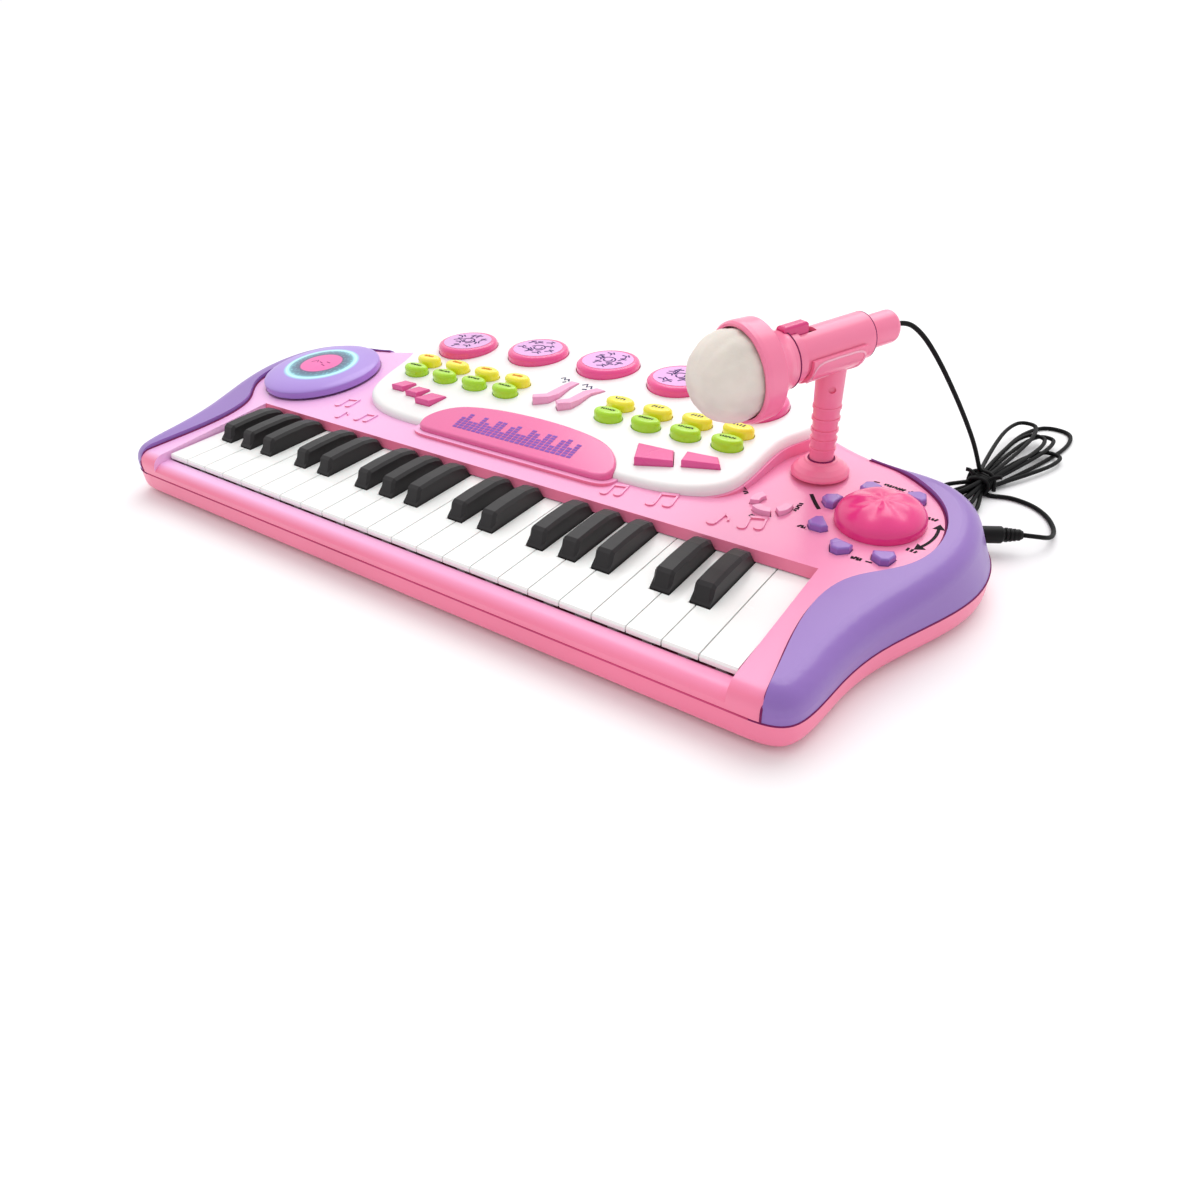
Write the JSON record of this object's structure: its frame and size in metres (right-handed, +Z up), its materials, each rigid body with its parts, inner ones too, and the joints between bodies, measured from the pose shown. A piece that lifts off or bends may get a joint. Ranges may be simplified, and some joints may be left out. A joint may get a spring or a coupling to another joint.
{
  "type": "toy electronic keyboard",
  "caption": "Toy electronic keyboard with hinged keys, press buttons, drum pads, a turning power knob and a corded microphone on a stand.",
  "frame": {"origin": "on the table, under the centre of the case", "axes": "+X to the player's right along the keys, +Y away from the player, +Z up"},
  "size_m": [0.5233, 0.361, 0.1238],
  "materials": {
    "pink_case": "satin moulded plastic",
    "pink_shell": "satin moulded plastic",
    "purple_plastic": "satin moulded plastic",
    "disc_plastic": "satin moulded plastic with a printed ring",
    "white_plastic": "satin moulded plastic",
    "pink_window": "clear-coated print",
    "hot_pink": "gloss moulded plastic",
    "pad_pink": "gloss moulded plastic",
    "green_plastic": "gloss moulded plastic",
    "yellow_plastic": "gloss moulded plastic",
    "button_pink": "gloss moulded plastic",
    "purple_button": "gloss moulded plastic",
    "white_key": "gloss moulded plastic",
    "black_key": "fine matte moulded plastic",
    "mic_pink": "satin moulded plastic",
    "grille": "soft white moulded grille",
    "board": "printed circuit board",
    "speaker_black": "paper cone and steel frame",
    "screw_steel": "zinc plated",
    "cord_black": "soft sleeving",
    "plug_black": "moulded over the plug"
  },
  "bodies": {
    "case": {"bottom_case": "pink_case", "top_case": "pink_shell", "end_cheeks": "purple_plastic", "control_panel": "white_plastic", "display_window": "pink_window", "circuit_board": "board", "speaker": "speaker_black", "battery_cover": "pink_case", "case_screws": "screw_steel", "mic_stand": "mic_pink", "mic_cord": "cord_black", "cord_hank": "cord_black", "mic_plug": "plug_black"},
    "disc": {"disc_pad": "disc_plastic"},
    "dome": {"power_dome": "hot_pink"},
    "pads": {"drum_pads": "pad_pink"},
    "greens": {"green_buttons": "green_plastic"},
    "yellows": {"yellow_buttons": "yellow_plastic"},
    "pinks": {"pink_buttons": "button_pink"},
    "purples": {"purple_buttons": "purple_button"},
    "mic": {"mic_body": "mic_pink", "mic_grille": "grille"},
    "mic_thumb": {"mic_switch": "hot_pink"},
    "white_key_01_body": {"white_key_01": "white_key"},
    "white_key_02_body": {"white_key_02": "white_key"},
    "white_key_03_body": {"white_key_03": "white_key"},
    "white_key_04_body": {"white_key_04": "white_key"},
    "white_key_05_body": {"white_key_05": "white_key"},
    "white_key_06_body": {"white_key_06": "white_key"},
    "white_key_07_body": {"white_key_07": "white_key"},
    "white_key_08_body": {"white_key_08": "white_key"},
    "white_key_09_body": {"white_key_09": "white_key"},
    "white_key_10_body": {"white_key_10": "white_key"},
    "white_key_11_body": {"white_key_11": "white_key"},
    "white_key_12_body": {"white_key_12": "white_key"},
    "white_key_13_body": {"white_key_13": "white_key"},
    "white_key_14_body": {"white_key_14": "white_key"},
    "white_key_15_body": {"white_key_15": "white_key"},
    "white_key_16_body": {"white_key_16": "white_key"},
    "white_key_17_body": {"white_key_17": "white_key"},
    "white_key_18_body": {"white_key_18": "white_key"},
    "white_key_19_body": {"white_key_19": "white_key"},
    "white_key_20_body": {"white_key_20": "white_key"},
    "white_key_21_body": {"white_key_21": "white_key"},
    "white_key_22_body": {"white_key_22": "white_key"},
    "black_key_01_body": {"black_key_01": "black_key"},
    "black_key_02_body": {"black_key_02": "black_key"},
    "black_key_03_body": {"black_key_03": "black_key"},
    "black_key_04_body": {"black_key_04": "black_key"},
    "black_key_05_body": {"black_key_05": "black_key"},
    "black_key_06_body": {"black_key_06": "black_key"},
    "black_key_07_body": {"black_key_07": "black_key"},
    "black_key_08_body": {"black_key_08": "black_key"},
    "black_key_09_body": {"black_key_09": "black_key"},
    "black_key_10_body": {"black_key_10": "black_key"},
    "black_key_11_body": {"black_key_11": "black_key"},
    "black_key_12_body": {"black_key_12": "black_key"},
    "black_key_13_body": {"black_key_13": "black_key"},
    "black_key_14_body": {"black_key_14": "black_key"},
    "black_key_15_body": {"black_key_15": "black_key"}
  },
  "joints": [
    {"name": "white_key_01_hinge", "type": "hinge", "parent": "case", "child": "white_key_01_body", "pos_m": [-0.18375, 0.004, 0.022], "axis": [1, 0, 0], "range_deg": [0, 2.3], "stiffness_Nm_per_rad": 0.6, "springref_deg": -4.58},
    {"name": "white_key_02_hinge", "type": "hinge", "parent": "case", "child": "white_key_02_body", "pos_m": [-0.16625, 0.004, 0.022], "axis": [1, 0, 0], "range_deg": [0, 2.3], "stiffness_Nm_per_rad": 0.6, "springref_deg": -4.58},
    {"name": "white_key_03_hinge", "type": "hinge", "parent": "case", "child": "white_key_03_body", "pos_m": [-0.14875, 0.004, 0.022], "axis": [1, 0, 0], "range_deg": [0, 2.3], "stiffness_Nm_per_rad": 0.6, "springref_deg": -4.58},
    {"name": "white_key_04_hinge", "type": "hinge", "parent": "case", "child": "white_key_04_body", "pos_m": [-0.13125, 0.004, 0.022], "axis": [1, 0, 0], "range_deg": [0, 2.3], "stiffness_Nm_per_rad": 0.6, "springref_deg": -4.58},
    {"name": "white_key_05_hinge", "type": "hinge", "parent": "case", "child": "white_key_05_body", "pos_m": [-0.11375, 0.004, 0.022], "axis": [1, 0, 0], "range_deg": [0, 2.3], "stiffness_Nm_per_rad": 0.6, "springref_deg": -4.58},
    {"name": "white_key_06_hinge", "type": "hinge", "parent": "case", "child": "white_key_06_body", "pos_m": [-0.09625, 0.004, 0.022], "axis": [1, 0, 0], "range_deg": [0, 2.3], "stiffness_Nm_per_rad": 0.6, "springref_deg": -4.58},
    {"name": "white_key_07_hinge", "type": "hinge", "parent": "case", "child": "white_key_07_body", "pos_m": [-0.07875, 0.004, 0.022], "axis": [1, 0, 0], "range_deg": [0, 2.3], "stiffness_Nm_per_rad": 0.6, "springref_deg": -4.58},
    {"name": "white_key_08_hinge", "type": "hinge", "parent": "case", "child": "white_key_08_body", "pos_m": [-0.06125, 0.004, 0.022], "axis": [1, 0, 0], "range_deg": [0, 2.3], "stiffness_Nm_per_rad": 0.6, "springref_deg": -4.58},
    {"name": "white_key_09_hinge", "type": "hinge", "parent": "case", "child": "white_key_09_body", "pos_m": [-0.04375, 0.004, 0.022], "axis": [1, 0, 0], "range_deg": [0, 2.3], "stiffness_Nm_per_rad": 0.6, "springref_deg": -4.58},
    {"name": "white_key_10_hinge", "type": "hinge", "parent": "case", "child": "white_key_10_body", "pos_m": [-0.02625, 0.004, 0.022], "axis": [1, 0, 0], "range_deg": [0, 2.3], "stiffness_Nm_per_rad": 0.6, "springref_deg": -4.58},
    {"name": "white_key_11_hinge", "type": "hinge", "parent": "case", "child": "white_key_11_body", "pos_m": [-0.00875, 0.004, 0.022], "axis": [1, 0, 0], "range_deg": [0, 2.3], "stiffness_Nm_per_rad": 0.6, "springref_deg": -4.58},
    {"name": "white_key_12_hinge", "type": "hinge", "parent": "case", "child": "white_key_12_body", "pos_m": [0.00875, 0.004, 0.022], "axis": [1, 0, 0], "range_deg": [0, 2.3], "stiffness_Nm_per_rad": 0.6, "springref_deg": -4.58},
    {"name": "white_key_13_hinge", "type": "hinge", "parent": "case", "child": "white_key_13_body", "pos_m": [0.02625, 0.004, 0.022], "axis": [1, 0, 0], "range_deg": [0, 2.3], "stiffness_Nm_per_rad": 0.6, "springref_deg": -4.58},
    {"name": "white_key_14_hinge", "type": "hinge", "parent": "case", "child": "white_key_14_body", "pos_m": [0.04375, 0.004, 0.022], "axis": [1, 0, 0], "range_deg": [0, 2.3], "stiffness_Nm_per_rad": 0.6, "springref_deg": -4.58},
    {"name": "white_key_15_hinge", "type": "hinge", "parent": "case", "child": "white_key_15_body", "pos_m": [0.06125, 0.004, 0.022], "axis": [1, 0, 0], "range_deg": [0, 2.3], "stiffness_Nm_per_rad": 0.6, "springref_deg": -4.58},
    {"name": "white_key_16_hinge", "type": "hinge", "parent": "case", "child": "white_key_16_body", "pos_m": [0.07875, 0.004, 0.022], "axis": [1, 0, 0], "range_deg": [0, 2.3], "stiffness_Nm_per_rad": 0.6, "springref_deg": -4.58},
    {"name": "white_key_17_hinge", "type": "hinge", "parent": "case", "child": "white_key_17_body", "pos_m": [0.09625, 0.004, 0.022], "axis": [1, 0, 0], "range_deg": [0, 2.3], "stiffness_Nm_per_rad": 0.6, "springref_deg": -4.58},
    {"name": "white_key_18_hinge", "type": "hinge", "parent": "case", "child": "white_key_18_body", "pos_m": [0.11375, 0.004, 0.022], "axis": [1, 0, 0], "range_deg": [0, 2.3], "stiffness_Nm_per_rad": 0.6, "springref_deg": -4.58},
    {"name": "white_key_19_hinge", "type": "hinge", "parent": "case", "child": "white_key_19_body", "pos_m": [0.13125, 0.004, 0.022], "axis": [1, 0, 0], "range_deg": [0, 2.3], "stiffness_Nm_per_rad": 0.6, "springref_deg": -4.58},
    {"name": "white_key_20_hinge", "type": "hinge", "parent": "case", "child": "white_key_20_body", "pos_m": [0.14875, 0.004, 0.022], "axis": [1, 0, 0], "range_deg": [0, 2.3], "stiffness_Nm_per_rad": 0.6, "springref_deg": -4.58},
    {"name": "white_key_21_hinge", "type": "hinge", "parent": "case", "child": "white_key_21_body", "pos_m": [0.16625, 0.004, 0.022], "axis": [1, 0, 0], "range_deg": [0, 2.3], "stiffness_Nm_per_rad": 0.6, "springref_deg": -4.58},
    {"name": "white_key_22_hinge", "type": "hinge", "parent": "case", "child": "white_key_22_body", "pos_m": [0.18375, 0.004, 0.022], "axis": [1, 0, 0], "range_deg": [0, 2.3], "stiffness_Nm_per_rad": 0.6, "springref_deg": -4.58},
    {"name": "black_key_01_hinge", "type": "hinge", "parent": "case", "child": "black_key_01_body", "pos_m": [-0.17675, 0.004, 0.022], "axis": [1, 0, 0], "range_deg": [0, 2.3], "stiffness_Nm_per_rad": 0.6, "springref_deg": -4.58},
    {"name": "black_key_02_hinge", "type": "hinge", "parent": "case", "child": "black_key_02_body", "pos_m": [-0.1575, 0.004, 0.022], "axis": [1, 0, 0], "range_deg": [0, 2.3], "stiffness_Nm_per_rad": 0.6, "springref_deg": -4.58},
    {"name": "black_key_03_hinge", "type": "hinge", "parent": "case", "child": "black_key_03_body", "pos_m": [-0.13825, 0.004, 0.022], "axis": [1, 0, 0], "range_deg": [0, 2.3], "stiffness_Nm_per_rad": 0.6, "springref_deg": -4.58},
    {"name": "black_key_04_hinge", "type": "hinge", "parent": "case", "child": "black_key_04_body", "pos_m": [-0.1064, 0.004, 0.022], "axis": [1, 0, 0], "range_deg": [0, 2.3], "stiffness_Nm_per_rad": 0.6, "springref_deg": -4.58},
    {"name": "black_key_05_hinge", "type": "hinge", "parent": "case", "child": "black_key_05_body", "pos_m": [-0.0861, 0.004, 0.022], "axis": [1, 0, 0], "range_deg": [0, 2.3], "stiffness_Nm_per_rad": 0.6, "springref_deg": -4.58},
    {"name": "black_key_06_hinge", "type": "hinge", "parent": "case", "child": "black_key_06_body", "pos_m": [-0.05425, 0.004, 0.022], "axis": [1, 0, 0], "range_deg": [0, 2.3], "stiffness_Nm_per_rad": 0.6, "springref_deg": -4.58},
    {"name": "black_key_07_hinge", "type": "hinge", "parent": "case", "child": "black_key_07_body", "pos_m": [-0.035, 0.004, 0.022], "axis": [1, 0, 0], "range_deg": [0, 2.3], "stiffness_Nm_per_rad": 0.6, "springref_deg": -4.58},
    {"name": "black_key_08_hinge", "type": "hinge", "parent": "case", "child": "black_key_08_body", "pos_m": [-0.01575, 0.004, 0.022], "axis": [1, 0, 0], "range_deg": [0, 2.3], "stiffness_Nm_per_rad": 0.6, "springref_deg": -4.58},
    {"name": "black_key_09_hinge", "type": "hinge", "parent": "case", "child": "black_key_09_body", "pos_m": [0.0161, 0.004, 0.022], "axis": [1, 0, 0], "range_deg": [0, 2.3], "stiffness_Nm_per_rad": 0.6, "springref_deg": -4.58},
    {"name": "black_key_10_hinge", "type": "hinge", "parent": "case", "child": "black_key_10_body", "pos_m": [0.0364, 0.004, 0.022], "axis": [1, 0, 0], "range_deg": [0, 2.3], "stiffness_Nm_per_rad": 0.6, "springref_deg": -4.58},
    {"name": "black_key_11_hinge", "type": "hinge", "parent": "case", "child": "black_key_11_body", "pos_m": [0.06825, 0.004, 0.022], "axis": [1, 0, 0], "range_deg": [0, 2.3], "stiffness_Nm_per_rad": 0.6, "springref_deg": -4.58},
    {"name": "black_key_12_hinge", "type": "hinge", "parent": "case", "child": "black_key_12_body", "pos_m": [0.0875, 0.004, 0.022], "axis": [1, 0, 0], "range_deg": [0, 2.3], "stiffness_Nm_per_rad": 0.6, "springref_deg": -4.58},
    {"name": "black_key_13_hinge", "type": "hinge", "parent": "case", "child": "black_key_13_body", "pos_m": [0.10675, 0.004, 0.022], "axis": [1, 0, 0], "range_deg": [0, 2.3], "stiffness_Nm_per_rad": 0.6, "springref_deg": -4.58},
    {"name": "black_key_14_hinge", "type": "hinge", "parent": "case", "child": "black_key_14_body", "pos_m": [0.1386, 0.004, 0.022], "axis": [1, 0, 0], "range_deg": [0, 2.3], "stiffness_Nm_per_rad": 0.6, "springref_deg": -4.58},
    {"name": "black_key_15_hinge", "type": "hinge", "parent": "case", "child": "black_key_15_body", "pos_m": [0.1589, 0.004, 0.022], "axis": [1, 0, 0], "range_deg": [0, 2.3], "stiffness_Nm_per_rad": 0.6, "springref_deg": -4.58},
    {"name": "disc_press", "type": "slide", "parent": "case", "child": "disc", "axis": [0, 0.0599, -0.9982], "range_m": [0, 0.002], "stiffness_N_per_m": 500, "springref_m": -0.006},
    {"name": "pads_press", "type": "slide", "parent": "case", "child": "pads", "axis": [0, 0, -1], "range_m": [0, 0.002], "stiffness_N_per_m": 500, "springref_m": -0.006},
    {"name": "greens_press", "type": "slide", "parent": "case", "child": "greens", "axis": [0, 0, -1], "range_m": [0, 0.002], "stiffness_N_per_m": 300, "springref_m": -0.005},
    {"name": "yellows_press", "type": "slide", "parent": "case", "child": "yellows", "axis": [0, 0, -1], "range_m": [0, 0.002], "stiffness_N_per_m": 300, "springref_m": -0.005},
    {"name": "pinks_press", "type": "slide", "parent": "case", "child": "pinks", "axis": [0, 0, -1], "range_m": [0, 0.0015], "stiffness_N_per_m": 300, "springref_m": -0.005},
    {"name": "purples_press", "type": "slide", "parent": "case", "child": "purples", "axis": [0, 0, -1], "range_m": [0, 0.0015], "stiffness_N_per_m": 300, "springref_m": -0.005},
    {"name": "power_turn", "type": "hinge", "parent": "case", "child": "dome", "pos_m": [0.203, 0.015, 0.0348], "axis": [0, -0.0599, 0.9982], "range_deg": [0, 40]},
    {"name": "mic_lift", "type": "slide", "parent": "case", "child": "mic", "axis": [-0.0278, -0.0534, 0.9982], "range_m": [0, 0.025]},
    {"name": "mic_switch_slide", "type": "slide", "parent": "mic", "child": "mic_thumb", "axis": [0.4609, 0.8854, 0.0602], "range_m": [0, 0.004]}
  ]
}
